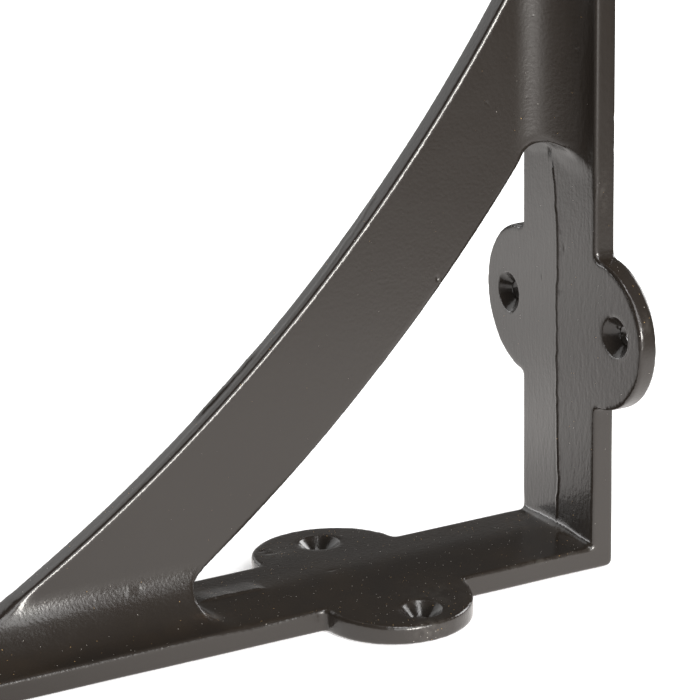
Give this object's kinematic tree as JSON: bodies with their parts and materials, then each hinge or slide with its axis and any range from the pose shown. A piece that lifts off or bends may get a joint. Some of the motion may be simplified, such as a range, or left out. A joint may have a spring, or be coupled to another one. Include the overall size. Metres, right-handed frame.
{
  "type": "shelf bracket",
  "caption": "Cast right-angle shelf bracket: two flat arms with paired screw lugs, joined by a thin curved brace with wide coves and an open window at the corner.",
  "frame": {"origin": "middle of the footprint, on the surface that the bracket stands on: the outer face of its horizontal arm", "axes": "+X is out of the upright arm's outer face, -Z out of the horizontal arm's outer face, and Y is across the arms"},
  "size_m": [0.2, 0.0648, 0.2],
  "materials": {
    "black_iron": "satin black coating over an as-cast skin"
  },
  "bodies": {
    "root": {"shelf_bracket": "black_iron"}
  },
  "joints": []
}
